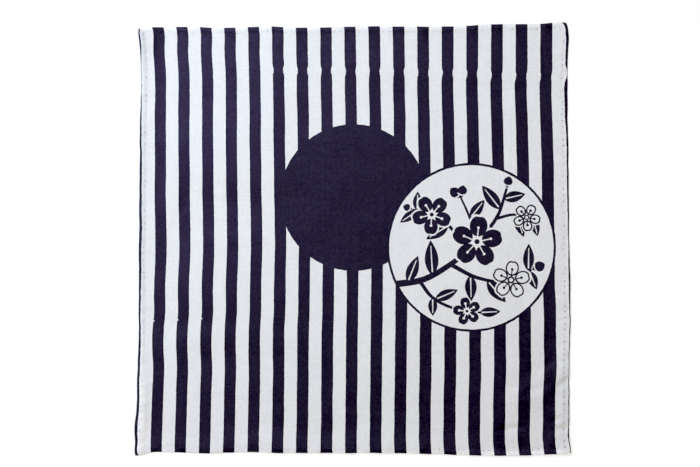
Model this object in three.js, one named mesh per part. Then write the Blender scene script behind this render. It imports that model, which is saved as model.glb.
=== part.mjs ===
// A printed cotton pocket square that lies flat on a surface, face up, with a narrow hem on each side.
//
// Millimetres. +X points to the right side of the cloth, +Y to its top and +Z up off the surface.
// The origin is the middle of the underside of its box, so that the cloth rests on z = 0.
// The cloth is one closed sheet. It is worked out on a true square, and then each point is carried to
// where the cloth really lies: the sides stray a little, and a few soft folds lift off the surface.

import * as THREE from "three";

// Driving dimensions
const SIDE = 330; // hemmed size, nominally 13 inches square
const CLOTH_THICKNESS = 1;
const HEM_THICKNESS = 1.8; // three layers: the cloth, and its edge turned under twice
const HEM_WIDTH = 4.8;
const HEM_STEP = 1.6; // how far the drop from the hem to the single cloth is spread
const CORNER_REACH = 7; // how near to a corner the cloth is drawn in
const CORNER_PULL = 1.1; // how far a corner's point is drawn in, each way
const OPEN_CELLS = 30; // cells of the mesh across the single cloth

const HALF = SIDE / 2;
const FOLD_RADIUS = HEM_THICKNESS / 2;

// How far each side strays out of the true square. Along counts from the middle of the side, upwards on
// the left and right sides, and to the right on the top and bottom sides.
const LEFT_SIDE = [
  { along: -165, out: 2.8 },
  { along: -157, out: 1.9 },
  { along: -143, out: 2.1 },
  { along: -126, out: 0.6 },
  { along: -104, out: 0.1 },
  { along: -60, out: -1.1 },
  { along: -46, out: -1.0 },
  { along: 53, out: -1.8 },
  { along: 90, out: -2.0 },
  { along: 130, out: -2.9 },
  { along: 153, out: -1.7 },
  { along: 165, out: -0.3 },
];
const RIGHT_SIDE = [
  { along: -165, out: 1.7 },
  { along: -153, out: -0.4 },
  { along: -142, out: -0.3 },
  { along: -122, out: -0.2 },
  { along: -100, out: -0.3 },
  { along: -54, out: 0.6 },
  { along: -20, out: 0.1 },
  { along: 5, out: -0.5 },
  { along: 45, out: -0.6 },
  { along: 70, out: -1.0 },
  { along: 112, out: -1.6 },
  { along: 135, out: -1.3 },
  { along: 154, out: -0.6 },
  { along: 165, out: -1.4 },
];
const TOP_SIDE = [
  { along: -165, out: -3.3 },
  { along: -152, out: -3.0 },
  { along: -130, out: -2.6 },
  { along: -95, out: -3.3 },
  { along: -76, out: -2.7 },
  { along: -57, out: -2.5 },
  { along: -39, out: -3.3 },
  { along: -20, out: -3.0 },
  { along: 0, out: -2.4 },
  { along: 17, out: -2.3 },
  { along: 54, out: -2.3 },
  { along: 75, out: -2.4 },
  { along: 92, out: -1.4 },
  { along: 112, out: -0.6 },
  { along: 147, out: 0 },
  { along: 165, out: 1.5 },
];
const BOTTOM_SIDE = [
  { along: -165, out: 1.2 },
  { along: -158, out: -0.9 },
  { along: -151, out: -2.5 },
  { along: -132, out: -2.3 },
  { along: -114, out: -1.8 },
  { along: -76, out: -2.7 },
  { along: -57, out: -2.2 },
  { along: -2, out: -2.0 },
  { along: 36, out: -1.9 },
  { along: 73, out: -0.8 },
  { along: 111, out: -0.1 },
  { along: 131, out: -0.4 },
  { along: 151, out: -1.1 },
  { along: 165, out: -1.3 },
];

// Soft folds that lift the cloth off the surface. X and y are a fold's middle, heading is its direction
// from +X towards +Y in degrees, reach is half its length, spread is half its width and rise its height.
const FOLDS = [
  { name: "ease beside the left hem", x: -142, y: 42, heading: 88, reach: 62, spread: 20, rise: 0.9 },
  { name: "ease beside the right hem", x: 148, y: 8, heading: 93, reach: 78, spread: 17, rise: 0.8 },
  { name: "upper crossing ridge", x: 50, y: 127, heading: -1, reach: 112, spread: 15, rise: 0.6 },
  { name: "lower left ridge", x: -112, y: -79, heading: 2, reach: 54, spread: 16, rise: 0.8 },
  { name: "lower right crease", x: 130, y: -122, heading: 35, reach: 48, spread: 16, rise: 1.4 },
  { name: "inner right crease", x: 131, y: -82, heading: 55, reach: 36, spread: 15, rise: 1.0 },
  { name: "rolled left hem", x: -166, y: -132, heading: 90, reach: 38, spread: 14, rise: 0.9 },
  { name: "top left corner", x: -165, y: 161, heading: -45, reach: 34, spread: 24, rise: 1.6 },
  { name: "bottom right corner", x: 166, y: -164, heading: -45, reach: 34, spread: 26, rise: 2.2 },
];

// A side's stray at a place along it: a smooth curve through the rows of its table.
function strayAt(side, along) {
  let i = side.findIndex((row) => row.along >= along);
  i = i < 0 ? side.length - 1 : Math.max(i, 1);
  const before = side[i - 1];
  const after = side[i];
  const length = after.along - before.along;
  const t = THREE.MathUtils.clamp((along - before.along) / length, 0, 1);
  const startSlope = slopeAt(side, i - 1) * length;
  const endSlope = slopeAt(side, i) * length;
  const stray = (2 * t ** 3 - 3 * t ** 2 + 1) * before.out + (3 * t ** 2 - 2 * t ** 3) * after.out;
  return stray + (t ** 3 - 2 * t ** 2 + t) * startSlope + (t ** 3 - t ** 2) * endSlope;
}

// The slope of that curve at a row, from the rows on either side of it.
function slopeAt(side, row) {
  const before = side[Math.max(row - 1, 0)];
  const after = side[Math.min(row + 1, side.length - 1)];
  return (after.out - before.out) / (after.along - before.along);
}

// Where a point of the true square lies on the real cloth. Each side's stray fades out towards the
// side across from it, and the corners are drawn in.
function placeOnCloth(u, v) {
  const right = (u + HALF) / SIDE;
  const up = (v + HALF) / SIDE;
  const fromCorner = HALF - Math.min(Math.abs(u), Math.abs(v));
  const drawnIn = CORNER_PULL * Math.max(0, 1 - fromCorner / CORNER_REACH) ** 2;
  return {
    x: u + right * strayAt(RIGHT_SIDE, v) - (1 - right) * strayAt(LEFT_SIDE, v) - Math.sign(u) * drawnIn,
    y: v + up * strayAt(TOP_SIDE, u) - (1 - up) * strayAt(BOTTOM_SIDE, u) - Math.sign(v) * drawnIn,
  };
}

// A smooth rise and fall: 1 at the middle, 0 from a distance of 1 on.
function swell(distance) {
  return Math.max(0, 1 - distance ** 2) ** 2;
}

// How far the cloth's underside is off the surface.
function liftAt(x, y) {
  return FOLDS.reduce((lift, fold) => {
    const heading = THREE.MathUtils.degToRad(fold.heading);
    const along = (x - fold.x) * Math.cos(heading) + (y - fold.y) * Math.sin(heading);
    const across = (y - fold.y) * Math.cos(heading) - (x - fold.x) * Math.sin(heading);
    return lift + fold.rise * swell(along / fold.reach) * swell(across / fold.spread);
  }, 0);
}

// The heights of the upper and lower faces over the underside's level, at a distance in from the
// nearest side: the hem's round fold, its flat top, the step down, then the single cloth.
function sectionAt(inwards) {
  const fromRound = Math.max(0, 1 - inwards / FOLD_RADIUS);
  const halfHem = FOLD_RADIUS * Math.sqrt(1 - fromRound ** 2);
  const down = THREE.MathUtils.smoothstep(inwards, HEM_WIDTH, HEM_WIDTH + HEM_STEP);
  return {
    upper: FOLD_RADIUS + halfHem - down * (HEM_THICKNESS - CLOTH_THICKNESS),
    lower: FOLD_RADIUS - halfHem,
  };
}

// The mesh's lines across the true square: close together over the hems, and even between them.
function meshLines() {
  const overHem = [0, 0.25 * FOLD_RADIUS, FOLD_RADIUS, HEM_WIDTH, HEM_WIDTH + HEM_STEP];
  const firstOpen = HALF - HEM_WIDTH - HEM_STEP;
  const open = [];
  for (let i = 1; i < OPEN_CELLS; i++) {
    open.push(firstOpen * (2 * i / OPEN_CELLS - 1));
  }
  const low = overHem.map((inwards) => inwards - HALF);
  const high = overHem.map((inwards) => HALF - inwards).reverse();
  return [...low, ...open, ...high];
}

// The whole sheet as one closed geometry. The upper and lower faces share the points of the rim.
function clothGeometry() {
  const lines = meshLines();
  const last = lines.length - 1;
  const positions = [];
  const upper = [];
  const lower = [];
  lines.forEach((v) => {
    lines.forEach((u) => {
      const { x, y } = placeOnCloth(u, v);
      const inwards = HALF - Math.max(Math.abs(u), Math.abs(v));
      const section = sectionAt(inwards);
      const lift = liftAt(x, y);
      upper.push(positions.length / 3);
      positions.push(x, y, lift + section.upper);
      if (inwards > 0) {
        lower.push(positions.length / 3);
        positions.push(x, y, lift + section.lower);
      } else {
        lower.push(upper.at(-1));
      }
    });
  });

  const faces = [];
  for (let row = 0; row < last; row++) {
    for (let column = 0; column < last; column++) {
      const nearLeft = row * lines.length + column;
      const corners = [nearLeft, nearLeft + 1, nearLeft + lines.length + 1, nearLeft + lines.length];
      // Each cell is split along the diagonal that points at the nearest corner of the cloth.
      const turned = (row < last / 2) !== (column < last / 2);
      const [a, b, c, d] = turned ? [...corners.slice(1), corners[0]] : corners;
      faces.push(upper[a], upper[b], upper[c], upper[a], upper[c], upper[d]);
      faces.push(lower[a], lower[c], lower[b], lower[a], lower[d], lower[c]);
    }
  }

  const geometry = new THREE.BufferGeometry();
  geometry.setAttribute("position", new THREE.Float32BufferAttribute(positions, 3));
  geometry.setIndex(faces);
  geometry.computeVertexNormals();
  geometry.computeBoundingBox();
  return geometry;
}

// White cotton, of which the navy print covers about half.
function printedCotton() {
  return new THREE.MeshStandardMaterial({ color: 0xe4e9f2, roughness: 0.9, metalness: 0 });
}

function clothMesh() {
  const mesh = new THREE.Mesh(clothGeometry(), printedCotton());
  const { min, max } = mesh.geometry.boundingBox;
  mesh.name = "cloth";
  mesh.position.set(-(min.x + max.x) / 2, -(min.y + max.y) / 2, 0);
  return mesh;
}

const pocketSquare = new THREE.Group();
pocketSquare.add(clothMesh());

export default pocketSquare;
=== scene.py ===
import math

import bpy
import numpy as np
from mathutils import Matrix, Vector
from mathutils.geometry import delaunay_2d_cdt
from mathutils.kdtree import KDTree


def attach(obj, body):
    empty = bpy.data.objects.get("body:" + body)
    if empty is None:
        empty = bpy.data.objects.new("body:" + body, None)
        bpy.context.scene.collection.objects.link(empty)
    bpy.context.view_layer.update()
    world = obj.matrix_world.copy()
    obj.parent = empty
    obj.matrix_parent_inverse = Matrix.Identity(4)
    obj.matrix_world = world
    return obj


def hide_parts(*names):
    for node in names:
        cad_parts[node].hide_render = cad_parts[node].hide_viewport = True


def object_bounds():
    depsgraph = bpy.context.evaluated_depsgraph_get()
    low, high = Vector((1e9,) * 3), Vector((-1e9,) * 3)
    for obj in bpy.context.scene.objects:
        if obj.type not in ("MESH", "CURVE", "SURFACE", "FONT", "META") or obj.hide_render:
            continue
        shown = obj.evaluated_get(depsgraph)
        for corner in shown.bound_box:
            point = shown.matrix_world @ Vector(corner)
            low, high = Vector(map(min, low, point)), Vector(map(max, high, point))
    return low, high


# The looks of a printed cotton pocket square that lies flat and face up, seen from straight above.
# Lengths are in millimetres until a mesh is made, and MM turns them into Blender's metres.
# The cloth is worked out twice over: on the true square (u, v), where distances in from a side are
# measured, and on the real cloth (x, y), whose sides stray. Both have their origin at the middle.

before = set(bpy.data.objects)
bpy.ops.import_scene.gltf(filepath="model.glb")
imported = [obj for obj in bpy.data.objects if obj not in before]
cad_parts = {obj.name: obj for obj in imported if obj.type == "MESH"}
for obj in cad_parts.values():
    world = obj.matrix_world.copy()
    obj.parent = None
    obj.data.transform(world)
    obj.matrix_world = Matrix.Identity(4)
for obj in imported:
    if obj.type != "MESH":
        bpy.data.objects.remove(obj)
cad_low, cad_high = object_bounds()

MM = 0.001


def table(columns, *rows):
    """A table with named columns, as {name of a column: its values}."""
    return dict(zip(columns.split(), np.array(rows, float).T, strict=True))


def rows_of(columns):
    """A table's rows, each as {name of a column: its value}."""
    return [dict(zip(columns, row, strict=True)) for row in zip(*columns.values(), strict=True)]


def between_rows(columns, places):
    """A table's other columns, read straight between its rows at places in its first."""
    at, *others = columns.values()
    return [np.interp(places, at, values) for values in others]


# Driving dimensions
SIDE = 330  # the hemmed square
HALF = SIDE / 2
CLOTH_THICKNESS = 0.35
HEM_WIDTH = 4.8
STITCH_INWARDS = 4.1
STITCH_PITCH = 4.6
STITCH_LENGTH = 1.0  # of the part that shows on the face
THREAD_DIAMETER = 0.4
PIT_REACH = 1.15  # how far round a stitch the cloth is pulled down
CORNER_REACH = 7  # how near to a corner the cloth is drawn in
CORNER_PULL = 1.1  # how far a corner's point is drawn in, each way
CORNER_BLEND = 24  # how far the change between two hems' sections is spread
RIM_WANDER, RIM_WANDER_REACH = 0.2, 12  # how far the rim wavers, and how far in that fades out
STRIPES = 17
STRIPE_PITCH = 18.64
STRIPE_WIDTH = 8.8
STRIPE_OFFSET = -2.65  # from the middle of the cloth to the middle stripe
WEAVE_PITCH = 0.36

# How far each side strays out of the true square, as in the solid. Along counts from the middle of the
# side, upwards on the left and right sides, and to the right on the top and bottom sides.
LEFT_SIDE = table(
    "along out",
    (-165, 2.8), (-157, 1.9), (-143, 2.1), (-126, 0.6), (-104, 0.1), (-60, -1.1),
    (-46, -1.0), (53, -1.8), (90, -2.0), (130, -2.9), (153, -1.7), (165, -0.3),
)
RIGHT_SIDE = table(
    "along out",
    (-165, 1.7), (-153, -0.4), (-142, -0.3), (-122, -0.2), (-100, -0.3), (-54, 0.6), (-20, 0.1),
    (5, -0.5), (45, -0.6), (70, -1.0), (112, -1.6), (135, -1.3), (154, -0.6), (165, -1.4),
)
TOP_SIDE = table(
    "along out",
    (-165, -3.3), (-152, -3.0), (-130, -2.6), (-95, -3.3), (-76, -2.7), (-57, -2.5),
    (-39, -3.3), (-20, -3.0), (0, -2.4), (17, -2.3), (54, -2.3), (75, -2.4),
    (92, -1.4), (112, -0.6), (147, 0), (165, 1.5),
)
BOTTOM_SIDE = table(
    "along out",
    (-165, 1.2), (-158, -0.9), (-151, -2.5), (-132, -2.3), (-114, -1.8), (-76, -2.7), (-57, -2.2),
    (-2, -2.0), (36, -1.9), (73, -0.8), (111, -0.1), (131, -0.4), (151, -1.1), (165, -1.3),
)

# Soft folds that lift the cloth off the surface, as in the solid: a fold's middle, its direction from
# +X towards +Y in degrees, half its length, half its width, and its height.
FOLDS = table(
    "x y heading reach spread rise",
    (-142, 42, 88, 62, 20, 0.9),
    (148, 8, 93, 78, 17, 0.8),
    (50, 127, -1, 112, 15, 0.6),
    (-112, -79, 2, 54, 16, 0.8),
    (130, -122, 35, 48, 16, 1.4),
    (131, -82, 55, 36, 15, 1.0),
    (-166, -132, 90, 38, 14, 0.9),
    (-165, 161, -45, 34, 24, 1.6),
    (166, -164, -45, 34, 26, 2.2),
)

# Fainter ridges, and troughs with a negative rise, in the same terms. Some only ease the folds above.
CREASES = table(
    "x y heading reach spread rise",
    (-139, 46, 85, 36, 7, 0.35),
    (-132, 20, 70, 22, 5, -0.25),
    (-87, 64, 0, 64, 50, 1.2),
    (-90, -38, 0, 72, 54, 1.3),
    (-95, 1, 2, 40, 9, 0.4),
    (-85, 27, -4, 40, 13, -0.35),
    (-140, -57, 5, 14, 8, 0.35),
    (-104, -82, 1, 50, 13, -0.4),
    (-161.3, -137, 87, 46, 5.5, 1.2),
    (-161.5, 152, 92, 20, 5.5, 0.5),
    (-166, 156, 90, 34, 20, 1.8),
    (-95, -139, 0, 20, 6, -0.35),
    (-66, -151, 3, 16, 7, 0.35),
    (-110, 139, -3, 52, 11, -0.3),
    (130, -122, 35, 48, 16, -0.6),
    (131, -82, 55, 36, 15, -0.6),
    (158, -62, 16, 6, 2.8, -0.5),
    (145, -97, 22, 9, 4.5, -0.7),
    (163, -100, 32, 12, 14, 1.0),
    (160, -109.5, 30, 8.5, 4.2, -1.15),
    (160, -113, 30, 8, 6, -0.4),
    (140, -114, 24, 16, 5, -0.6),
    (121, -113, 5, 10, 5, -0.6),
    (121, -144, 3, 13, 3.6, -0.9),
    (156, -137, 20, 9, 3.6, -0.7),
    (159, -144, 10, 9, 4, -0.9),
    (158, -135, 15, 14, 13, 0.9),
    (130, -135, 0, 60, 50, 1.0),
    (151, -152, 60, 14, 5, 0.3),
    (60, 60, 80, 60, 14, 0.2),
    (10, -100, -8, 70, 16, 0.25),
    (-30, -35, 75, 50, 13, -0.2),
    (0, -166, 0, 190, 22, 1.3),
    (130, -168, 0, 75, 9, 1.7),
    (164, -50, 90, 130, 14, 1.0),
    (-162, 50, 89, 125, 15, 0.9),
)

# The hem's section: heights of its faces at distances in from the side. The fold comes first, then the
# roll of three layers, the stitch line and the fall to the single cloth. The top and left hems fall to
# it at once. The bottom and right ones are pressed flatter, and hold the cloth up beside them.
HEM_SECTION = table(
    "inwards upper flatter lower",
    (0, 0.4, 0.4, 0.4),
    (0.05, 0.62, 0.64, 0.2),
    (0.12, 0.72, 0.7, 0.1),
    (0.3, 0.82, 0.72, 0.03),
    (0.8, 0.96, 0.76, 0),
    (2.0, 1.05, 0.82, 0),
    (3.2, 0.94, 0.84, 0),
    (STITCH_INWARDS, 0.69, 0.8, 0.22),
    (HEM_WIDTH, 0.57, 0.8, 0),
    (HEM_WIDTH + 0.3, 0.53, 0.79, 0),
    (6.4, 0.43, 0.77, 0),
    (8.2, 0.38, 0.74, 0),
    (13, CLOTH_THICKNESS, 0.65, 0),
    (34, CLOTH_THICKNESS, CLOTH_THICKNESS, 0),
)
EDGE_ROUND, EDGE_FADE = 0.8, 2  # how far past its fold and its end a hem is less uneven
HEM_END = HEM_WIDTH + 0.2  # where the underside steps up to the single cloth
ROLL_RISE, PUCKER_RISE = 0.14, 0.07  # how high the hems' long and short unevenness is
WORN_HEM = {"x": 163, "y": -110, "reach": 80}  # where the hem is most puckered
WORN_RISE = 0.13  # and how much higher the short unevenness is there
BESIDE_RISE, BESIDE_REACH, BESIDE_FROM = 0.2, 16, 3  # the pucker that the stitches make in the cloth
BESIDE_DRAWN_OUT = 0.35  # how much of its quickness that keeps across the hem
OPEN_RISE, OPEN_FADE = 0.2, 30  # the open cloth's ease, and how far in from the side it is whole
RESTING = 0.05  # how softly the cloth comes to rest on the surface

# How each hem shows, along the bottom, right, top and left sides: a pale band in from its fold,
# partly the cloth folded double and partly a painted highlight, and a darker band where the ink
# turned under it shows through, partly painted shade.
HEM_TONES = (
    # The bottom hem's pale band widens and brightens towards the right, where it is mostly painted
    # highlight.
    table(
        "along reach paler covered",
        (-165, 3, 0.8, 0), (-120, 1.8, 0.8, 0), (30, 1.8, 0.8, 0),
        (60, 3.5, 1, 0), (85, 5, 1.4, 0), (165, 5.5, 1.6, 0),
    ),
    # The right hem's dark band is deepest beside its creases, where it paints their shade.
    table(
        "along reach paler covered",
        (-165, 4, 1, 0.1), (-148, 4, 0.9, 0.4), (-108, 4, 0.9, 0.55),
        (-80, 4.2, 1.1, 0.2), (-50, 4.2, 1.2, 0.1), (165, 4, 1.2, 0.08),
    ),
    table("along reach paler covered", (-165, 3.6, 0.5, 0), (0, 3.4, 0.4, 0), (165, 3, 0.4, 0)),
    table(
        "along reach paler covered",
        (-165, 13, 1.7, 0), (-140, 11, 1.6, 0), (-115, 6.5, 1.4, 0),
        (-80, 4.5, 1.1, 0.15), (-50, 3, 1, 0.28), (0, 2.4, 0.6, 0.36),
        (110, 2.2, 0.4, 0.45), (150, 2, 0.8, 0.6),
    ),
)

# How deep the stitches of the bottom, right, top and left hems pull, and how much of their thread
# stands out, at the start and the end of the side
PULL = ((0.3, 0.6), (1.3, 0.8), (0.5, 0.5), (0.7, 0.5))
SHOWN = ((0.3, 1.0), (3.0, 0.9), (0.9, 0.7), (1.2, 0.6))
PIT_DEPTH = (0.08, 0.42)
STITCH_STRAY, STITCH_WANDER = 0.45, 0.3  # out of its place along the hem, and across it
STITCHES_END = 1.2  # short of where two rows of stitches would meet

# The print. Half a stripe is wider towards the right of the cloth, and more so towards its bottom.
GAIN_RIGHT, EVEN_AT, GAIN_DOWN = 0.28, 0.4, 0.12
EDGE_WANDER, EDGE_RAG, EDGE_SWAY = 0.10, 0.07, 0.12  # how far a stripe's edges stray
LINE_RAG, THINNEST_LINE = 0.12, 0.05
DISC_RAG = 0.12
PAST_RIM, PAST_FOLD = 4, 3  # how far the outlines of stripes and side lines run past the rim

# How far the stripes drift to the right of their even pitch at the left, middle and right of the cloth
STRIPE_DRIFT = table(
    "up left middle right",
    (-165, 1.3, 0.9, 3.9), (-152, 1.2, 0.7, 2.4), (-135, 1.7, 0.9, 2.7),
    (-117, 2.4, 1.15, 2.9), (-98, 3.0, 1.25, 3.7), (-80, 2.4, 1.3, 3.7),
    (-66, 2.9, 1.6, 3.5), (-58, 3.6, 1.8, 3.4), (-43, 3.6, 1.9, 2.9),
    (-8, 4.8, 2.2, 2.5), (30, 4.4, 1.8, 1.9), (66, 4.4, 1.2, 1.6),
    (94, 4.3, 0.85, 0.6), (118, 4.45, 0.4, 0.2), (130, 4.15, 0.4, 0.8),
    (144, 3.2, 0.1, 0.7), (158, 3.2, 0.1, 0.8), (165, 2.0, -0.2, 0.8),
)

# Where two placings of the printing plate meet, the stripes draw in, with small teeth: the height of
# the meeting at a stripe, and how far each edge draws in, from below it to above it.
JOIN_HEIGHT = table("number height", (0, 130), (6, 129), (13, 126.5), (14, 125), (16, 124))
FIRST_DRAWN_IN = 5
JOIN_TEETH = table(
    "above drawn_in",
    (-5, 0), (-2.6, 0.3), (-1.3, 1.0), (-0.6, 0.4), (0.3, 1.3),
    (0.9, 0.5), (1.7, 0.95), (3, 0.3), (5, 0),
)
JOIN_STEP = 0.4
JOIN_WEAR, JOIN_UNEVENNESS = 0.8, 0.3  # the teeth's usual size, and how it differs

# Small bare nicks in the left edges of a few stripes
NICKS = table("number up", (0, -62.2), (1, -61.4), (2, -60.4))
NICK = {"deep": 1.2, "half": 0.9, "outside": 0.6}

# The next stripe beyond each side just shows along the fold of the hem, as a line of this width
LEFT_LINE = table(
    "up wide",
    (-165, 3.4), (-163, 2.1), (-156, 2), (-150, 2.3), (-140, 2.5), (-126, 2.1), (-105, 2),
    (-86, 1.9), (-60, 1.55), (-40, 1.7), (-25, 2), (2, 2.2), (27, 2.05), (45, 1.85),
    (58, 1.9), (80, 1.5), (95, 1.3), (107, 0.85), (114, 0.5), (131, 0.4), (138, 0.5),
    (145, 1.1), (151, 1.4), (157, 1.5), (165, 1),
)
RIGHT_LINE = table(
    "up wide",
    (-165, 0.6), (-157, 0.85), (-150, 1.15), (-143, 0.8), (-126, 0.9), (-101, 0.65), (-83, 0.7),
    (-58, 0.9), (-45, 1.15), (-28, 1.4), (-16, 1.2), (-8, 0.75), (2, 0.9), (15, 1),
    (27, 1.35), (64, 1.45), (82, 1.65), (94, 2.25), (113, 2.65), (119, 2.35), (123.5, 0.42),
    (127.5, 0.42), (132, 1.85), (143, 2.05), (155, 2.4), (162.5, 2.2), (165, 4),
)

# The generic design: a dark disc, a pale one over it, and a spray of blossom on the pale one, whose
# places count from that disc's middle. A line tapers from its first width to its last. At is a share
# of the twig's length, or of a leaf's length or a flower's radius.
PALE_DISC = {"x": 90.0, "y": -6.0, "radius": 64.5}
DARK_DISC = {"x": 0.0, "y": 32.0, "radius": 56.0}
DISC_LINE = 1.8
TWIGS = (
    {"line": ((-57, -28), (-38, -25), (-16, -13), (4, 4), (20, 24), (27, 45)), "wide": (5.2, 2)},
    {"line": ((-16, -13), (4, -23), (26, -26), (46, -17)), "wide": (3.4, 1.6)},
    {"line": ((-4, -3), (-13, 12), (-28, 24), (-45, 29)), "wide": (3, 1.5)},
    {"line": ((-40, -25), (-30, -38), (-12, -47), (8, -50)), "wide": (3, 1.5)},
    {"line": ((19, 22), (33, 25), (48, 21)), "wide": (2.4, 1.4)},
    {"line": ((4, 4), (-1, 22), (-8, 38)), "wide": (2.4, 1.4)},
)
# Turn is from the twig's direction, in degrees.
LEAVES = table(
    "twig at turn length width",
    (0, 0.07, 62, 22, 9),
    (0, 0.24, 66, 27, 10.5),
    (0, 0.86, 58, 23, 9.5),
    (0, 0.93, -62, 17, 8.5),
    (1, 0.26, -64, 20, 9),
    (1, 0.46, -38, 22, 10),
    (1, 0.96, 62, 21, 8.5),
    (1, 0.97, -95, 15.5, 7.5),
    (2, 0.44, 74, 20, 8.5),
    (2, 0.93, 48, 16, 7),
    (2, 0.93, -78, 14.5, 7),
    (3, 0.30, -50, 14, 7),
    (3, 0.34, 58, 19, 8),
    (3, 0.97, 10, 16, 7.5),
    (4, 0.52, -66, 18, 8),
    (4, 0.98, -60, 13, 6.5),
    (5, 0.52, -58, 18, 8),
)
BLOSSOMS = table(
    "twig at radius heading outlined",
    (0, 0.60, 20, 12, 0),
    (2, 0.72, 15.5, 50, 0),
    (1, 0.74, 15, 84, 1),
    (3, 0.80, 11, 30, 0),
    (4, 0.80, 11, 60, 1),
)
BUDS = table(
    "twig at turn length",
    (0, 1, 6, 9.5),
    (1, 1, -2, 11),
    (5, 0.99, 24, 11),
    (5, 0.99, -34, 10),
    (2, 1, -4, 7.5),
)

RIB = {"at": (0.1, 0.5, 0.84), "wide": (1.1, 0.6)}
STAMEN = {"at": (0.12, 0.3, 0.5), "wide": (1, 0.8)}
ANTHER = {"at": 0.54, "radius": 1.05}
PETALS = 5
PETAL_HALO = 1.22  # a petal with its bare rim, as a share of the petal
PETAL_LINE = 3.2  # about three times the width of an outlined petal's line
CUP_LINE = 0.9

INK, GROUND = "ink", "ground"


# The cloth's shape

FINDING_ROUNDS = 6  # enough for find_on_square to settle
# How far apart like pieces read one unevenness, so that each is uneven in its own way
SIDES_APART, HEMS_APART, STRIPES_APART, HANDS_APART, EDGES_APART = 70, 500, 40, 9, 50


def smooth(at, values, places):
    """A smooth curve through a table's rows, read at the places given."""
    slopes = np.gradient(values, at)
    i = np.clip(np.searchsorted(at, places) - 1, 0, len(at) - 2)
    length = at[i + 1] - at[i]
    t = np.clip((places - at[i]) / length, 0, 1)
    return (
        (2 * t**3 - 3 * t**2 + 1) * values[i]
        + (3 * t**2 - 2 * t**3) * values[i + 1]
        + (t**3 - 2 * t**2 + t) * length * slopes[i]
        + (t**3 - t**2) * length * slopes[i + 1]
    )


def swell(distance):
    """A smooth rise and fall: 1 at the middle, 0 from a distance of 1 on."""
    return np.clip(1 - distance**2, 0, None) ** 2


class Unevenness:
    """A smooth, seeded unevenness over the plane, about -1 to 1. Its waves may be drawn out along X."""

    def __init__(self, seed, shortest, longest, waves=14, drawn_out=1):
        draw = np.random.default_rng(seed)
        turn = draw.uniform(0, 2 * math.pi, waves)
        rate = 2 * math.pi / draw.uniform(shortest, longest, waves)
        self.across, self.up = rate * np.cos(turn) / drawn_out, rate * np.sin(turn)
        self.start = draw.uniform(0, 2 * math.pi, waves)
        self.scale = math.sqrt(2 / waves) / 2

    def __call__(self, x, y):
        waves = np.multiply.outer(x, self.across) + np.multiply.outer(y, self.up) + self.start
        return self.scale * np.sin(waves).sum(-1)


hem_roll = Unevenness(seed=3, shortest=14, longest=46)
hem_pucker = Unevenness(seed=5, shortest=6, longest=14)
open_cloth = Unevenness(seed=8, shortest=30, longest=90)
rim_wander = Unevenness(seed=21, shortest=10, longest=38)
edge_wander = Unevenness(seed=11, shortest=12, longest=50)
edge_rag = Unevenness(seed=12, shortest=2.2, longest=7)
shared_sway = Unevenness(seed=14, shortest=16, longest=52, drawn_out=5)


def stray(side, along):
    return smooth(side["along"], side["out"], along)


def moved_by(u, v):
    """How far a point of the true square is moved across and up on the real cloth."""
    right, up = (u + HALF) / SIDE, (v + HALF) / SIDE
    from_corner = HALF - np.minimum(abs(u), abs(v))
    drawn_in = CORNER_PULL * np.clip(1 - from_corner / CORNER_REACH, 0, 1) ** 2
    across = right * stray(RIGHT_SIDE, v) - (1 - right) * stray(LEFT_SIDE, v)
    upwards = up * stray(TOP_SIDE, u) - (1 - up) * stray(BOTTOM_SIDE, u)
    inwards = HALF - np.maximum(abs(u), abs(v))
    near_rim = RIM_WANDER * np.clip(1 - inwards / RIM_WANDER_REACH, 0, 1)
    across += near_rim * rim_wander(u, v)
    upwards += near_rim * rim_wander(v, u)
    return across - np.sign(u) * drawn_in, upwards - np.sign(v) * drawn_in


def place_on_cloth(square):
    """Points of the true square, carried to the real cloth."""
    return square + np.stack(moved_by(*square.T), axis=1)


def find_on_square(places):
    """Points of the real cloth, carried back to the true square."""
    square = places.copy()
    for _ in range(FINDING_ROUNDS):
        square = places - np.stack(moved_by(*square.T), axis=1)
    return square


def inwards_at(square):
    """How far points of the true square are in from their nearest side."""
    return np.clip(HALF - abs(square).max(axis=1), 0, None)


def on_side(side, along, inwards):
    """Points of the true square, in from a side: 0 is the bottom one, and the rest anticlockwise."""
    half = HALF - inwards + np.zeros_like(along)
    return np.stack([(along, -half), (half, along), (-along, half), (-half, -along)][side], axis=1)


def square_ring(inwards, step):
    """Points round the true square at a distance in from its sides."""
    half = HALF - inwards
    along = np.linspace(-half, half, int(2 * half / step) + 1)[:-1]
    return np.concatenate([on_side(side, along, inwards) for side in range(4)])


def at_side(values_of, square, inwards):
    """What a function of (side, along, inwards) gives at points, each beside its nearest side."""
    u, v = square.T
    beside = abs(u) > abs(v)
    side = np.where(beside, np.where(u > 0, 1, 3), np.where(v > 0, 2, 0))
    along = np.where(beside, v, u)
    found = np.zeros(len(square))
    for i in range(4):
        found[side == i] = values_of(i, along[side == i], inwards[side == i])
    return found


def pressed_flat(square):
    """0 beside the top and left hems, 1 beside the bottom and right ones, and between at a corner."""
    u, v = square.T
    beside = np.clip((abs(u) - abs(v)) / CORNER_BLEND + 0.5, 0, 1)
    return beside * (u > 0) + (1 - beside) * (v < 0)


def lift_by(folds, x, y):
    """How far a table of folds lifts the cloth at places."""
    lift = np.zeros_like(x)
    for f in rows_of(folds):
        c, s = math.cos(math.radians(f["heading"])), math.sin(math.radians(f["heading"]))
        along = (x - f["x"]) * c + (y - f["y"]) * s
        across = (y - f["y"]) * c - (x - f["x"]) * s
        lift += f["rise"] * swell(along / f["reach"]) * swell(across / f["spread"])
    return lift


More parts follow.
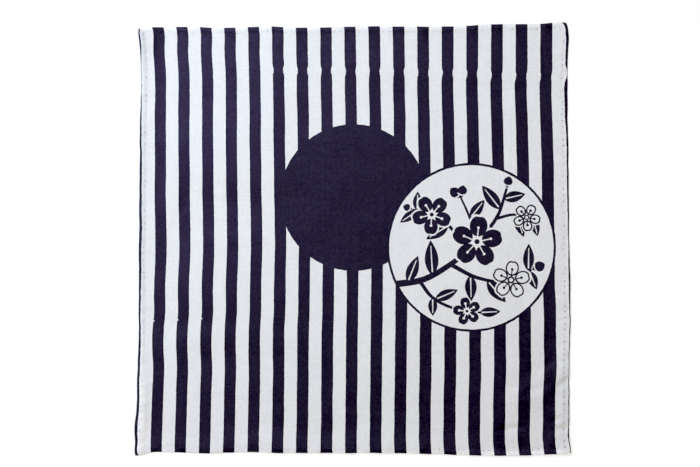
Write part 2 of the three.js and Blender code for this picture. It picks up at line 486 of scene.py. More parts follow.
def stitches():
    """Each side's running stitch: where its stitches are, how deep they pull and how much shows."""
    draw = np.random.default_rng(31)
    reach = HALF - STITCH_INWARDS - STITCHES_END
    count = int(2 * reach / STITCH_PITCH)
    evenly = np.linspace(-reach, reach, count)
    rows = []
    for side in range(4):
        pull, shown = (np.linspace(*ends[side], count) for ends in (PULL, SHOWN))
        wander = STITCH_WANDER * hem_roll(np.arange(count) * STITCH_PITCH, SIDES_APART * side)
        rows.append(
            {
                "along": evenly + draw.uniform(-STITCH_STRAY, STITCH_STRAY, count),
                "inwards": STITCH_INWARDS + wander,
                "depth": pull * draw.uniform(*PIT_DEPTH, count),
                "shown": shown * draw.uniform(0, 1, count),
            }
        )
    return rows


STITCHES = stitches()
PITS = np.concatenate(
    [place_on_cloth(on_side(side, row["along"], row["inwards"])) for side, row in enumerate(STITCHES)]
)
PIT_DEPTHS = np.concatenate([row["depth"] for row in STITCHES])


def pit_depth(places, inwards):
    """How far the stitches pull the upper face down."""
    depth = np.zeros(len(places))
    near = abs(inwards - STITCH_INWARDS) < 2 * PIT_REACH
    apart = np.linalg.norm(places[near][:, None] - PITS, axis=2)
    depth[near] = (PIT_DEPTHS * swell(apart / PIT_REACH)).sum(axis=1)
    return depth


def heights(places, square):
    """The heights of the upper and lower faces at points of the cloth."""
    x, y = places.T
    beside = abs(square[:, 0]) > abs(square[:, 1])
    along = np.where(beside, square[:, 1], square[:, 0] + HEMS_APART)
    inwards = inwards_at(square)
    upper, flatter, lower = between_rows(HEM_SECTION, inwards)
    upper = upper + pressed_flat(square) * (flatter - upper)
    lift = lift_by(FOLDS, x, y) + lift_by(CREASES, x, y)
    beside_hem = swell((inwards - HEM_WIDTH) / BESIDE_REACH) * np.clip(inwards / BESIDE_FROM, 0, 1)
    lift += BESIDE_RISE * beside_hem * (1 + hem_pucker(along, BESIDE_DRAWN_OUT * inwards))
    lift += OPEN_RISE * np.clip(inwards / OPEN_FADE, 0, 1) * (1 + open_cloth(x, y))
    lift = (lift + np.sqrt(lift**2 + 4 * RESTING**2)) / 2 - RESTING  # never under what it lies on
    over_hem = np.clip(inwards / EDGE_ROUND, 0, 1)
    over_hem *= np.clip((HEM_WIDTH + EDGE_FADE - inwards) / EDGE_FADE, 0, 1)
    worn = swell(np.hypot(x - WORN_HEM["x"], y - WORN_HEM["y"]) / WORN_HEM["reach"])
    pucker = (PUCKER_RISE + WORN_RISE * worn) * hem_pucker(along, inwards)
    upper = upper + over_hem * (ROLL_RISE * hem_roll(x, y) + pucker)
    lower = np.where(inwards > HEM_END, upper - CLOTH_THICKNESS, lower)
    return lift + upper - pit_depth(places, inwards), lift + lower


# The print: outlines in millimetres on the real cloth, each with its tone, in the order printed

EDGE_STEP = 1.5
FEWEST_SIDES = 12  # of a circle
TWIG_STEPS = 100


def drift(number, y):
    """How far a stripe is to the right of its even place."""
    up, *drifts = STRIPE_DRIFT.values()
    left, middle, right = (smooth(up, values, y) for values in drifts)
    from_middle = 2 * number / (STRIPES - 1) - 1
    bend = (left + right) / 2 - middle
    return middle + from_middle * (right - left) / 2 + from_middle**2 * bend


def join_at(number):
    """The height at which the two placings of the plate meet at a stripe."""
    return between_rows(JOIN_HEIGHT, number)[0]


def stripe_edge(number, y, hand):
    """One edge of a stripe: hand is -1 for its left edge and 1 for its right one."""
    share = number / (STRIPES - 1)
    half = STRIPE_WIDTH / 2 + GAIN_RIGHT * (share - EVEN_AT) + GAIN_DOWN * share * (HALF - y) / SIDE
    if number >= FIRST_DRAWN_IN:
        worn = JOIN_WEAR + JOIN_UNEVENNESS * edge_wander(STRIPES_APART * number + HANDS_APART * hand, 0)
        half = half - worn * between_rows(JOIN_TEETH, y - join_at(number))[0]
    x = STRIPE_PITCH * (number - STRIPES // 2) + STRIPE_OFFSET + drift(number, y) + hand * half
    own = x + EDGES_APART * (2 * number + (hand > 0))
    wander, rag = EDGE_WANDER * edge_wander(own, y), EDGE_RAG * edge_rag(own, y)
    return x + wander + rag + EDGE_SWAY * shared_sway(x, y)


def stripe(number):
    evenly = np.arange(-HALF - PAST_RIM, HALF + PAST_RIM, EDGE_STEP)
    lowest, highest = JOIN_TEETH["above"][[0, -1]]
    beside_join = join_at(number) + np.arange(lowest, highest + 0.1, JOIN_STEP)
    y = np.sort(np.concatenate([evenly, beside_join]))
    left = np.stack([stripe_edge(number, y, -1), y], axis=1)
    right = np.stack([stripe_edge(number, y, 1), y], axis=1)
    return np.concatenate([left, right[::-1]])


def nick(number, up):
    """A small bare wedge in a stripe's left edge."""
    x = stripe_edge(number, up, -1)
    outside, half = x - NICK["outside"], NICK["half"]
    return np.array([(outside, up - half), (x + NICK["deep"], up), (outside, up + half)])


def side_line(line, hand):
    """The sliver of print along the left (hand -1) or right (hand 1) fold."""
    v = np.arange(-HALF, HALF + 0.1, EDGE_STEP)
    wide = between_rows(line, v)[0] + LINE_RAG * edge_rag(hand * HALF, v)
    inner_u = hand * (HALF - np.clip(wide, THINNEST_LINE, None))
    inner = place_on_cloth(np.stack([inner_u, v], axis=1))
    outer = place_on_cloth(np.stack([hand * (HALF + PAST_FOLD) + 0 * v, v], axis=1))
    return np.concatenate([inner, outer[::-1]])


def circle(x, y, radius, rag=0.0):
    count = max(FEWEST_SIDES, int(2 * math.pi * radius / EDGE_STEP))
    turn = np.linspace(0, 2 * math.pi, count, endpoint=False)
    uneven = radius + rag * edge_rag(x + radius * np.cos(turn), y + radius * np.sin(turn))
    return np.stack([x + uneven * np.cos(turn), y + uneven * np.sin(turn)], axis=1)


def turned(outline, x, y, heading):
    """An outline drawn along +X, turned to a heading in degrees and set at a place."""
    c, s = math.cos(math.radians(heading)), math.sin(math.radians(heading))
    return outline @ np.array([[c, s], [-s, c]]) + (x, y)


def smooth_line(points, count):
    """Points evenly along a smooth line, and the line's direction at each."""
    points = np.array(points, float)
    knots = np.append(0, np.cumsum(np.linalg.norm(np.diff(points, axis=0), axis=1)))
    at = np.linspace(0, knots[-1], count)
    line = np.stack([smooth(knots, points[:, i], at) for i in (0, 1)], axis=1)
    ahead = np.gradient(line, axis=0)
    return line, ahead / np.linalg.norm(ahead, axis=1)[:, None]


def brush(points, start_width, end_width):
    """A tapering stroke along a smooth line through the points."""
    reach = np.linalg.norm(np.diff(np.array(points, float), axis=0), axis=1).sum()
    line, ahead = smooth_line(points, max(5, int(reach / EDGE_STEP)))
    half = np.linspace(start_width, end_width, len(line))[:, None] / 2
    beside = np.stack([-ahead[:, 1], ahead[:, 0]], axis=1) * half
    return np.concatenate([line + beside, (line - beside)[::-1]])


def blade(length, half):
    """An outline that starts and ends on the X axis, as wide each way as half says."""
    along = np.linspace(0, length, len(half))
    return np.concatenate([np.stack([along, half], 1), np.stack([along, -half], 1)[-2:0:-1]])


def straight(size, at, wide):
    """A tapering stroke along the X axis, through shares of a size."""
    return brush([(share * size, 0) for share in at], *wide)


def leaf(x, y, heading, length, width):
    """A pointed leaf in ink, with its midrib left bare."""
    t = np.linspace(0, 1, 15)
    body = blade(length, width / 2 * np.sin(math.pi * t**0.85) ** 0.9)
    rib = straight(length, **RIB)
    return [(INK, turned(body, x, y, heading)), (GROUND, turned(rib, x, y, heading))]


def petal(radius, share):
    """A round petal with a notched tip, drawn along +X. Share is its size against a full petal."""
    turn = np.linspace(-math.pi, math.pi, 24, endpoint=False)
    notch = 1 - 0.13 * np.exp(-((turn / 0.3) ** 2))
    along = radius * (0.6 + 0.4 * share * np.cos(turn) * notch)
    return np.stack([along, radius * 0.34 * share * np.sin(turn)], axis=1)


def blossom(x, y, radius, heading, outlined):
    """A five-petalled flower, in ink with bare stamens, or outlined with inked ones."""
    headings = [heading + 360 / PETALS * i for i in range(PETALS)]
    halo = petal(radius, PETAL_HALO)
    shapes = [(GROUND, circle(x, y, 0.7 * radius))]
    shapes += [(GROUND, turned(halo, x, y, towards)) for towards in headings]
    for towards in headings:
        shapes.append((INK, turned(petal(radius, 1), x, y, towards)))
        if outlined:
            shapes.append((GROUND, turned(petal(radius, 1 - PETAL_LINE / radius), x, y, towards)))
    tone, eye_tone = (INK, GROUND) if outlined else (GROUND, INK)
    stamen = straight(radius, **STAMEN)
    anther = circle(ANTHER["at"] * radius, 0, ANTHER["radius"])
    for towards in headings:
        shapes.append((tone, turned(stamen, x, y, towards)))
        shapes.append((tone, turned(anther, x, y, towards)))
    shapes.append((tone, circle(x, y, 0.19 * radius)))
    shapes.append((eye_tone, circle(x, y, 0.1 * radius)))
    return shapes


def bud(x, y, heading, length):
    """A closed bud in its cup."""
    t = np.linspace(0, 1, 10)
    body = blade(length, 0.36 * length * np.sin(math.pi * t**1.3) ** 0.8)
    lip = 0.34 * length
    cup = brush([(lip, -lip), (0.65 * lip, 0), (lip, lip)], CUP_LINE, CUP_LINE)
    return [(INK, turned(body, x, y, heading)), (GROUND, turned(cup, x, y, heading))]


def on_twig(twig, at, turn=0, **others):
    """A place on a twig and its heading, with a row's other values."""
    line, ahead = smooth_line(TWIGS[int(twig)]["line"], TWIG_STEPS + 1)
    i = round(TWIG_STEPS * at)
    heading = math.degrees(math.atan2(ahead[i, 1], ahead[i, 0])) + turn
    return {"x": line[i, 0], "y": line[i, 1], "heading": heading, **others}


def spray():
    """The loose spray of blossom on the pale disc."""
    shapes = [(INK, brush(twig["line"], *twig["wide"])) for twig in TWIGS]
    for motif, motifs in ((leaf, LEAVES), (bud, BUDS), (blossom, BLOSSOMS)):
        for row in rows_of(motifs):
            shapes += motif(**on_twig(**row))
    return [(tone, outline + (PALE_DISC["x"], PALE_DISC["y"])) for tone, outline in shapes]


def printed_shapes():
    """All of the print but its ground: (tone, outline), each over those before it."""
    shapes = [(INK, stripe(number)) for number in range(STRIPES)]
    shapes += [(GROUND, nick(**row)) for row in rows_of(NICKS)]
    shapes += [(INK, side_line(LEFT_LINE, -1)), (INK, side_line(RIGHT_LINE, 1))]
    shapes.append((INK, circle(**DARK_DISC, rag=DISC_RAG)))
    shapes.append((INK, circle(**PALE_DISC, rag=DISC_RAG)))
    bare = {**PALE_DISC, "radius": PALE_DISC["radius"] - DISC_LINE}
    shapes.append((GROUND, circle(**bare, rag=DISC_RAG)))
    return shapes + spray()


# The cloth's mesh

HEM_STEP = 2.3  # between the points that carry the hems' relief
RIM_STEP = HEM_STEP / 2  # the same where the hem is roundest
ROUNDEST = 0.5  # which is this far in from the fold
OPEN_FROM = 8.2  # where the open cloth's points take over from the hems' rings
OPEN_STEP = 3.2
MEASURING_STEP = 0.5
PIT_SIDES = 6
NARROW = 6  # a crease as narrow as this gets points of its own
NARROW_STEP = 1.3
NEAREST = 0.45  # a relief point nearer than this to the print's outlines is left out
EVERY_TRIANGLE, MERGED_WITHIN = 0, 1e-4  # what the triangulation gives, and what it merges


def relief_points():
    """Points that carry the relief of hems, pits, narrow creases and open cloth."""
    points = []
    rings = HEM_SECTION["inwards"][1:]
    for inwards in rings[rings <= OPEN_FROM]:
        step = HEM_STEP if inwards > ROUNDEST else RIM_STEP
        points.append(place_on_cloth(square_ring(inwards, step)))
    turn = np.linspace(0, 2 * math.pi, PIT_SIDES, endpoint=False)
    ring = np.stack([np.cos(turn), np.sin(turn)], axis=1)
    points.append(PITS)
    for radius in (0.4 * PIT_REACH, PIT_REACH):
        points.append((PITS[:, None] + radius * ring).reshape(-1, 2))
    for f in rows_of(CREASES):
        if f["spread"] <= NARROW:
            along = np.arange(-f["reach"], f["reach"], NARROW_STEP)
            across = np.arange(-f["spread"], f["spread"], NARROW_STEP)
            grid = np.stack(np.meshgrid(along, across), axis=-1).reshape(-1, 2)
            grid = turned(grid, f["x"], f["y"], f["heading"])
            points.append(grid[inwards_at(find_on_square(grid)) > HEM_STEP])
    half = HALF - OPEN_FROM - OPEN_STEP
    line = np.linspace(-half, half, int(2 * half / OPEN_STEP) + 1)
    points.append(place_on_cloth(np.stack(np.meshgrid(line, line), axis=-1).reshape(-1, 2)))
    return np.concatenate(points)


def print_mesh():
    """The flat cloth cut along every outline of its print: places, triangles, and which are inked.

    Relief points too near an outline are left out. The rim doesn't count as one, so that the rings of
    points beside it stay and the fold is round."""
    rim = place_on_cloth(square_ring(0, RIM_STEP))
    tones, faces, outlines = [], [], []
    count = 0
    for tone, outline in [(GROUND, rim), *printed_shapes()]:
        x, y = outline.T
        ids = list(range(count, count + len(outline)))
        anticlockwise = (x * np.roll(y, -1) - y * np.roll(x, -1)).sum() > 0
        faces.append(ids if anticlockwise else ids[::-1])
        tones.append(tone)
        outlines.append(outline)
        count += len(outline)

    near = KDTree(count)
    for i, (x, y) in enumerate(np.concatenate(outlines[1:])):
        near.insert((x, y, 0), i)
    near.balance()
    relief = relief_points()
    free = [near.find((x, y, 0))[2] > NEAREST for x, y in relief]
    flat = [Vector(place) for place in np.concatenate([*outlines, relief[np.array(free)]])]
    found = delaunay_2d_cdt(flat, [], faces, EVERY_TRIANGLE, MERGED_WITHIN, True)
    places = np.array([tuple(place) for place in found[0]])
    kept = [i for i, inside in enumerate(found[5]) if 0 in inside]
    triangles = np.array([found[2][i] for i in kept])
    inked = np.array([tones[max(found[5][i])] == INK for i in kept])
    return places, triangles, inked


def add_object(name, data):
    made = bpy.data.objects.new(name, data)
    bpy.context.scene.collection.objects.link(made)
    return made


def mesh_object(name, points_mm, faces, materials, slots=None):
    mesh = bpy.data.meshes.new(name)
    points = [tuple(point) for point in np.asarray(points_mm) * MM]
    mesh.from_pydata(points, [], [tuple(map(int, face)) for face in faces])
    for material in materials:
        mesh.materials.append(material)
    if slots is not None:
        mesh.polygons.foreach_set("material_index", np.asarray(slots, dtype=np.int32))
    mesh.polygons.foreach_set("use_smooth", np.ones(len(mesh.polygons), dtype=bool))
    mesh.update()
    return add_object(name, mesh)


def centring():
    """What moves the real cloth's plane so that its box is centred where the solid's box is."""
    rim = place_on_cloth(square_ring(0, MEASURING_STEP))
    middle = np.array([(cad_low.x + cad_high.x) / 2, (cad_low.y + cad_high.y) / 2]) / MM
    return middle - (rim.min(axis=0) + rim.max(axis=0)) / 2


FACE_GROUND, FACE_INK, BACK_GROUND, BACK_INK = range(4)
UV_AREAS = ((0, 0), (1, 0), (0, 1), (1, 1))  # a quarter of the UV square for each material
UV_SPAN = 345  # of the cloth's plane, in each quarter
# The hems' pale band is partly the cloth folded double and partly a highlight painted along the fold.
PALE_AND_LIT_FADE = 1.3  # above 1, a hem's pale band fades quickest beside its fold
# Past the hem, its dark band is partly ink showing through and partly painted shade.
DARK_BAND_END, DARK_BAND_FADE = 1, 1.2  # how far past the hem its dark band ends, and over what width


def unwrap(mesh, slots, shifted):
    """A flat map of the cloth for each material, so that the print's edges stay sharp in a bake."""
    corners = np.zeros(len(mesh.loops), np.int32)
    mesh.loops.foreach_get("vertex_index", corners)
    slot = np.repeat(slots, 3)
    quarter = np.array(UV_AREAS)[slot]
    plane = shifted[corners] / UV_SPAN
    plane[slot >= BACK_GROUND, 0] *= -1
    uv = (quarter + 0.5 + plane) / 2
    mesh.uv_layers.new(name="OFBake").data.foreach_set("uv", uv.astype(np.float32).ravel())


def hem_layers_and_light(square):
    """How much lighter (above 0) or darker (below 0) the hems make the cloth: a highlight painted on
    the cloth folded double, and ink showing through with painted shade.
    """

    def tone(side, along, inwards):
        reach, paler_and_lit, covered = between_rows(HEM_TONES[side], along)
        # The pale band: the cloth folded double, with a highlight painted along the fold.
        pale = paler_and_lit * np.clip(1 - inwards / reach, 0, 1) ** PALE_AND_LIT_FADE
        # The dark band: ink turned under showing through, with painted shade.
        over_turning = np.clip((HEM_WIDTH + DARK_BAND_END - inwards) / DARK_BAND_FADE, 0, 1)
        return pale - covered * over_turning * np.clip(1 - pale, 0, 1)

    return at_side(tone, square, inwards_at(square))


def make_cloth(materials):
    """The hemmed panel as one closed sheet, with its print showing through on its back."""
    places, triangles, inked = print_mesh()
    square = find_on_square(places)
    upper, lower = heights(places, square)
    used = np.unique(triangles)
    edges = np.concatenate([triangles[:, ends] for ends in ([0, 1], [1, 2], [2, 0])])
    pairs, times = np.unique(np.sort(edges, axis=1), axis=0, return_counts=True)
    rim = np.zeros(len(places), bool)
    rim[pairs[times == 1]] = True

    shifted = places + centring()
    below = used[~rim[used]]
    top_id = np.full(len(places), -1)
    top_id[used] = np.arange(len(used))
    under_id = top_id.copy()
    under_id[below] = len(used) + np.arange(len(below))
    both = np.concatenate([used, below])
    points = np.column_stack([shifted[both], np.concatenate([upper[used], lower[below]])])

    middle = square[triangles].mean(axis=1)
    on_hem = inwards_at(middle) < HEM_WIDTH
    # The left and right hems turn the next stripe's ink under.
    beside = abs(middle[:, 0]) > abs(middle[:, 1])
    face_slots = np.where(inked, FACE_INK, FACE_GROUND)
    hem_slots = np.where(beside | inked, FACE_INK, FACE_GROUND)
    back_slots = np.where(inked, BACK_INK, BACK_GROUND)
    faces = np.concatenate([top_id[triangles], under_id[triangles][:, ::-1]])
    slots = np.concatenate([face_slots, np.where(on_hem, hem_slots, back_slots)])
    made = mesh_object("printed_cloth", points, faces, materials, slots)
    unwrap(made.data, slots, points[:, :2])
    layers = made.data.attributes.new("hem_layers_and_light", "FLOAT", "POINT")
    layers.data.foreach_set("value", hem_layers_and_light(square[both]).astype(np.float32))
    return made


THREAD_SIDES = 6
STITCH_DIP = 0.25  # the length along which a stitch goes down through the hem
# How far the thread's middle is over or under the hem's faces, in thread diameters
MIDDLE_OVER, ENDS_UNDER, HIDDEN_UNDER, BENEATH = 0.35, 0.2, 0.9, 0.2


def thread_path(side, row):
    """A sewing thread's path along one hem: up through it for each stitch, and under it between."""
    half = STITCH_LENGTH / 2
    steps = (-half - STITCH_DIP, -half, 0, half, half + STITCH_DIP, STITCH_PITCH / 2)
    up = np.array([0, 1, 1, 1, 0, 0], bool)
    along = (row["along"][:, None] + steps).ravel()
    inwards = np.repeat(row["inwards"], len(steps))
    square = on_side(side, along, inwards)
    places = place_on_cloth(square)
    upper, lower = heights(places, square)
    on_face = np.tile(up, len(row["along"]))
    middle = np.tile(np.array(steps) == 0, len(row["along"]))
    shown = np.clip(np.repeat(row["shown"], len(steps)), 0, 1)
    over = np.where(middle, MIDDLE_OVER, -ENDS_UNDER) - HIDDEN_UNDER * (1 - shown)
    beneath = np.maximum(lower - BENEATH * THREAD_DIAMETER, THREAD_DIAMETER / 2)
    height = np.where(on_face, upper + over * THREAD_DIAMETER, beneath)
    return np.column_stack([places + centring(), height])


def thread_tube(path):
    """Points and faces of a thread along a path that is never upright."""
    ahead = np.gradient(path, axis=0)
    ahead /= np.linalg.norm(ahead, axis=1)[:, None]
    level = np.cross(ahead, (0, 0, 1))
    level /= np.linalg.norm(level, axis=1)[:, None]
    above = np.cross(level, ahead)
    turn = np.linspace(0, 2 * math.pi, THREAD_SIDES, endpoint=False)
    round_it = np.cos(turn)[:, None] * level[:, None] + np.sin(turn)[:, None] * above[:, None]
    points = (path[:, None] + THREAD_DIAMETER / 2 * round_it).reshape(-1, 3)
    faces = [tuple(reversed(range(THREAD_SIDES)))]
    for ring in range(len(path) - 1):
        for i in range(THREAD_SIDES):
            a, b = ring * THREAD_SIDES + i, ring * THREAD_SIDES + (i + 1) % THREAD_SIDES
            faces.append((a, b, b + THREAD_SIDES, a + THREAD_SIDES))
    faces.append(tuple(range(len(points) - THREAD_SIDES, len(points))))
    return points, faces


def make_stitching(material):
    points, faces = [], []
    for side, row in enumerate(STITCHES):
        side_points, side_faces = thread_tube(thread_path(side, row))
        before = sum(len(p) for p in points)
        faces += [tuple(i + before for i in face) for face in side_faces]
        points.append(side_points)
    return mesh_object("hem_stitching", np.concatenate(points), faces, [material])


# Materials

NEUTRAL = (1, 1, 1)
# Waves of the cotton's unevennesses to a metre, and the share of them that is left along a thread
STREAKS, SPECKS, BLOTCHES, WIDE_BLOTCHES = 800, 700, 120, 16
DRAWN_OUT = 0.025
MIDDLE_SHADE = 0.35
CLOTH_BUMP, THREAD_BUMP = 0.08, 0.05


def new_material(name):
    """A material, its tree, its shader, and the place on the object to draw by."""
    material = bpy.data.materials.new(name)
    material.use_nodes = True
    tree = material.node_tree
    place = tree.nodes.new("ShaderNodeTexCoord").outputs["Object"]
    return material, tree, tree.nodes["Principled BSDF"], place


def maths(tree, operation, a, b=None, clamp=False):
    node = tree.nodes.new("ShaderNodeMath")
    node.operation = operation
    node.use_clamp = clamp
    for socket, value in zip(node.inputs, (a, b), strict=False):
        if isinstance(value, bpy.types.NodeSocket):
            tree.links.new(value, socket)
        elif value is not None:
            socket.default_value = value
    return node.outputs[0]


def mix_node(tree, share, a, b):
    """Mixes two colours, each a socket or a plain colour."""
    mix = tree.nodes.new("ShaderNodeMix")
    mix.data_type = "RGBA"
    mix.clamp_factor = True
    tree.links.new(share, mix.inputs["Factor"])
    for name, colour in (("A", a), ("B", b)):
        socket = next(s for s in mix.inputs if s.name == name and s.type == "RGBA")
        if isinstance(colour, bpy.types.NodeSocket):
            tree.links.new(colour, socket)
        else:
            socket.default_value = (*colour, 1)
    return next(s for s in mix.outputs if s.type == "RGBA")


def noise_node(tree, vector, scale, detail, stretch=(1, 1, 1)):
    """Noise about its middle value, -0.5 to 0.5."""
    mapping = tree.nodes.new("ShaderNodeMapping")
    mapping.inputs["Scale"].default_value = [scale * s for s in stretch]
    tree.links.new(vector, mapping.inputs["Vector"])
    noise = tree.nodes.new("ShaderNodeTexNoise")
    noise.inputs["Scale"].default_value = 1.0
    noise.inputs["Detail"].default_value = detail
    tree.links.new(mapping.outputs[0], noise.inputs["Vector"])
    return maths(tree, "SUBTRACT", noise.outputs["Fac"], 0.5)


def add_bump(tree, shader, height, strength, distance_mm):
    bump = tree.nodes.new("ShaderNodeBump")
    bump.inputs["Strength"].default_value = strength
    bump.inputs["Distance"].default_value = distance_mm * MM
    tree.links.new(height, bump.inputs["Height"])
    tree.links.new(bump.outputs["Normal"], shader.inputs["Normal"])


def plus_shares(tree, total, *parts):
    """A value with shares added to it, each given as a socket and its share."""
    for socket, share in parts:
        total = maths(tree, "ADD", total, maths(tree, "MULTIPLY", socket, share))
    return total


def parts_of(tree, vector):
    parts = tree.nodes.new("ShaderNodeSeparateXYZ")
    tree.links.new(vector, parts.inputs[0])
    return parts.outputs


def weave_height(tree, vector):
    """The height of a plain weave: warp and weft pass over each other in turn."""
    parts = parts_of(tree, vector)
    rate = math.pi / (WEAVE_PITCH * MM)
    phases = [maths(tree, "MULTIPLY", parts[axis], rate) for axis in "XY"]
    warp, weft = (maths(tree, "SINE", phase) for phase in phases)
    over = maths(tree, "MULTIPLY", maths(tree, "MULTIPLY", warp, weft), 0.4)
    warp_over = maths(tree, "ADD", over, 0.6)
    weft_over = maths(tree, "SUBTRACT", 0.6, over)
    warp_height = maths(tree, "MULTIPLY", maths(tree, "ABSOLUTE", warp), warp_over)
    weft_height = maths(tree, "MULTIPLY", maths(tree, "ABSOLUTE", weft), weft_over)
    return maths(tree, "MAXIMUM", warp_height, weft_height)


def cotton(
    name, dark, light, doubled_and_lit, covered, roughness,
    speckled=2, gloss=0.2, gloss_tint=NEUTRAL, fuzz=0.03, fuzz_tint=NEUTRAL,
):
    """Plain-weave cotton whose colour runs between two shades with its threads and its wear.

    doubled_and_lit is its colour in the hems' pale band, where the cloth lies folded double over bare
    ground and a highlight is painted on the fold; covered is its colour in their dark band, where ink
    shows through and shade is painted."""
    material, tree, shader, place = new_material(name)
    weave = weave_height(tree, place)
    warp_streaks = noise_node(tree, place, STREAKS, 3, (1, DRAWN_OUT, 1))
    weft_streaks = noise_node(tree, place, STREAKS, 3, (DRAWN_OUT, 1, 1))
    specks = noise_node(tree, place, SPECKS, 2)
    blotches = noise_node(tree, place, BLOTCHES, 5)
    wide_blotches = noise_node(tree, place, WIDE_BLOTCHES, 2)

    streaks = maths(tree, "ADD", warp_streaks, weft_streaks)
    unevenness = ((blotches, 1.2), (specks, speckled), (wide_blotches, 0.6), (weave, 0.3))
    shade = maths(tree, "ADD", plus_shares(tree, streaks, *unevenness), MIDDLE_SHADE)
    colour = mix_node(tree, shade, dark, light)
    layers = tree.nodes.new("ShaderNodeAttribute")
    layers.attribute_name = "hem_layers_and_light"
    ragged = plus_shares(tree, 1.0, (blotches, 2.0), (specks, 3.0))
    # Where the hems' band is pale, a highlight is painted over the cloth folded double.
    doubled_and_lit_share = maths(tree, "MULTIPLY", layers.outputs["Fac"], ragged, clamp=True)
    # Where the band is dark, ink shows through the hem, with shade painted over it.
    through = maths(tree, "MULTIPLY", layers.outputs["Fac"], -1.0, clamp=True)
    show_through_and_shade_share = maths(tree, "MULTIPLY", through, ragged, clamp=True)
    colour = mix_node(tree, doubled_and_lit_share, colour, doubled_and_lit)
    colour = mix_node(tree, show_through_and_shade_share, colour, covered)
    tree.links.new(colour, shader.inputs["Base Color"])

    tree.links.new(plus_shares(tree, roughness, (blotches, 0.35)), shader.inputs["Roughness"])
    add_bump(tree, shader, plus_shares(tree, weave, (streaks, 1.2)), 0.4, CLOTH_BUMP)
    shader.inputs["Specular IOR Level"].default_value = gloss
    shader.inputs["Specular Tint"].default_value = (*gloss_tint, 1)
    shader.inputs["Sheen Weight"].default_value = fuzz
    shader.inputs["Sheen Roughness"].default_value = 0.4
    shader.inputs["Sheen Tint"].default_value = (*fuzz_tint, 1)
    return material


def thread_material():
    """Navy cotton sewing thread, faded a little by handling, with its twist as bump."""
    material, tree, shader, place = new_material("sewing_thread")
    wear = noise_node(tree, place, 400, 3)
    colour = mix_node(tree, maths(tree, "ADD", wear, 0.5), (0.02, 0.016, 0.04), (0.05, 0.045, 0.09))
    tree.links.new(colour, shader.inputs["Base Color"])
    twist = tree.nodes.new("ShaderNodeTexWave")
    twist.bands_direction = "DIAGONAL"
    twist.inputs["Scale"].default_value = 900
    tree.links.new(place, twist.inputs["Vector"])
    add_bump(tree, shader, twist.outputs["Fac"], 0.6, THREAD_BUMP)
    shader.inputs["Roughness"].default_value = 0.6
    return material


FLOOR_GLOW = 0.67  # how much light the floor gives out at its middle
GLOW_RISE = 0.154  # how much more it gives out for each metre away from the window's side
GLOW_REACH = 0.5  # how far that goes on, in metres


def floor_material():
    """A pale floor, lit a little from below so that it comes out an even white."""
    material, tree, shader, place = new_material("pale_floor")
    mottle = maths(tree, "ADD", noise_node(tree, place, 3, 2), 0.5)
    colour = mix_node(tree, mottle, (0.35, 0.35, 0.35), (0.37, 0.37, 0.37))
    tree.links.new(colour, shader.inputs["Base Color"])
    shader.inputs["Roughness"].default_value = 0.9
    shader.inputs["Specular IOR Level"].default_value = 0.1
    shader.inputs["Emission Color"].default_value = (1, 1, 1, 1)
    parts = parts_of(tree, place)
    from_window = maths(tree, "SUBTRACT", parts["X"], parts["Y"])
    from_window = maths(tree, "MAXIMUM", from_window, -GLOW_REACH)
    from_window = maths(tree, "MINIMUM", from_window, GLOW_REACH)
    rise = maths(tree, "MULTIPLY", from_window, GLOW_RISE)
    glow = maths(tree, "ADD", FLOOR_GLOW, rise, clamp=True)
    tree.links.new(glow, shader.inputs["Emission Strength"])
    return material


# Floor, light and camera

PIXEL = 0.764  # millimetres of cloth to a pixel of the 700 by 467 frame
FRAME_WIDTH_PX = 700
CLOTH_MIDDLE_PX = (353.5, 239.5)  # the true square's middle in the frame
FRAME_MIDDLE_PX = (350, 233.5)
LENS, SENSOR = 85, 36
WINDOW_PLACE, WINDOW_SIZE = (-0.5, 0.45, 1.0), 0.5  # in metres
WINDOW_POWER, WINDOW_COLOUR = 15.5, (0.725, 0.845, 1.0)
ROOM_COLOUR, BACKDROP_COLOUR = (1, 0.78, 0.53, 1), (0.93, 0.94, 0.96, 1)
HORIZON = 0.91  # how bright the surroundings are, level with the cloth
DARKER_ABOVE = 0.9  # and the share of that by which they are darker straight above
BLACK = 0.014  # the brightness that comes out black
BLACK_TINT = (0.85, 0.85, 1.15)  # and its red, green and blue
FLOOR_HALF = 3000


def make_camera():
    """Straight above the cloth, turned and framed as the photograph is."""
    data = bpy.data.cameras.new("camera")
    data.lens, data.sensor_width = LENS, SENSOR
    camera = add_object("camera", data)
    shift = centring()
    across = (FRAME_MIDDLE_PX[0] - CLOTH_MIDDLE_PX[0]) * PIXEL + shift[0]
    up = (CLOTH_MIDDLE_PX[1] - FRAME_MIDDLE_PX[1]) * PIXEL + shift[1]
    height = FRAME_WIDTH_PX * PIXEL / SENSOR * LENS
    camera.location = Vector((across, up, height)) * MM
    bpy.context.scene.camera = camera


def make_window():
    """One soft, cool light from the upper left, aimed at the middle of the cloth."""
    data = bpy.data.lights.new("window", "AREA")
    data.shape, data.size = "DISK", WINDOW_SIZE
    data.energy, data.color = WINDOW_POWER, WINDOW_COLOUR
    light = add_object("window", data)
    light.location = WINDOW_PLACE
    light.rotation_euler = (-Vector(WINDOW_PLACE)).to_track_quat("-Z", "Y").to_euler()


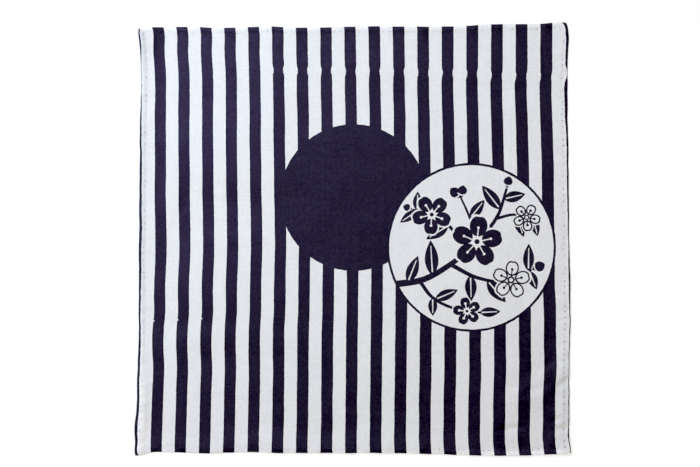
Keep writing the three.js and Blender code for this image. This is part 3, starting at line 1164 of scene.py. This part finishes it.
def make_world():
    """Warm, even light from round the cloth, with a darker ceiling, behind a plain white backdrop."""
    world = bpy.data.worlds.new("studio")
    bpy.context.scene.world = world
    world.use_nodes = True
    tree = world.node_tree
    upwards = parts_of(tree, tree.nodes.new("ShaderNodeTexCoord").outputs["Generated"])["Z"]
    fall = maths(tree, "MULTIPLY", upwards, -DARKER_ABOVE * HORIZON)
    background = tree.nodes["Background"]
    background.inputs["Color"].default_value = ROOM_COLOUR
    tree.links.new(maths(tree, "ADD", fall, HORIZON), background.inputs["Strength"])
    backdrop = tree.nodes.new("ShaderNodeBackground")
    backdrop.inputs["Color"].default_value = BACKDROP_COLOUR
    seen = tree.nodes.new("ShaderNodeMixShader")
    tree.links.new(tree.nodes.new("ShaderNodeLightPath").outputs["Is Camera Ray"], seen.inputs[0])
    tree.links.new(background.outputs[0], seen.inputs[1])
    tree.links.new(backdrop.outputs[0], seen.inputs[2])
    tree.links.new(seen.outputs[0], tree.nodes["World Output"].inputs["Surface"])
    world.cycles_visibility.glossy = False


def make_print_contrast(settings):
    """A plain view whose deepest shades go to black, as in a bright photograph."""
    settings.view_transform = "Standard"
    settings.use_curve_mapping = True
    settings.curve_mapping.black_level = [BLACK * share for share in BLACK_TINT]
    settings.curve_mapping.update()


def make_stage():
    signs = ((-1, -1), (1, -1), (1, 1), (-1, 1))
    corners = [(x * FLOOR_HALF, y * FLOOR_HALF, 0) for x, y in signs]
    mesh_object("floor", corners, [(0, 1, 2, 3)], [floor_material()])
    make_window()
    make_world()
    make_print_contrast(bpy.context.scene.view_settings)


make_stage()
make_camera()
white_cotton = cotton(
    "white_cotton",
    dark=(0.74, 0.74, 0.75),
    light=(0.80, 0.80, 0.81),
    # The hems' pale band: the cloth folded double, with a painted highlight.
    doubled_and_lit=(0.93, 0.93, 0.94),
    # The hems' dark band: ink showing through, with painted shade.
    covered=(0.595, 0.605, 0.65),
    speckled=3,
    roughness=0.85,
)
navy_print = cotton(
    "navy_print",
    dark=(0.0005, 0.0004, 0.0008),
    light=(0.0125, 0.011, 0.0155),
    # A lighter, bluer navy in the hems' pale band, as a painted highlight.
    doubled_and_lit=(0.014, 0.012, 0.022),
    # In the hems' dark band the navy turns a lighter blue.
    covered=(0.02, 0.014, 0.075),
    speckled=3.6,
    roughness=0.58,
    gloss=0.62,
    gloss_tint=(0.69, 0.5, 1),
    fuzz=0.2,
    fuzz_tint=(0.2, 0.17, 0.42),
)
cotton_back = cotton(
    "cotton_back",
    dark=(0.70, 0.73, 0.78),
    light=(0.77, 0.80, 0.85),
    doubled_and_lit=(0.77, 0.80, 0.85),
    covered=(0.72, 0.74, 0.78),
    roughness=0.88,
)
print_from_behind = cotton(
    "print_from_behind",
    dark=(0.05, 0.045, 0.085),
    light=(0.09, 0.08, 0.13),
    doubled_and_lit=(0.09, 0.08, 0.13),
    covered=(0.05, 0.045, 0.085),
    roughness=0.8,
)
cloth = make_cloth([white_cotton, navy_print, cotton_back, print_from_behind])
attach(cloth, "root")
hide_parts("cloth")
stitching = make_stitching(thread_material())
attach(stitching, "root")
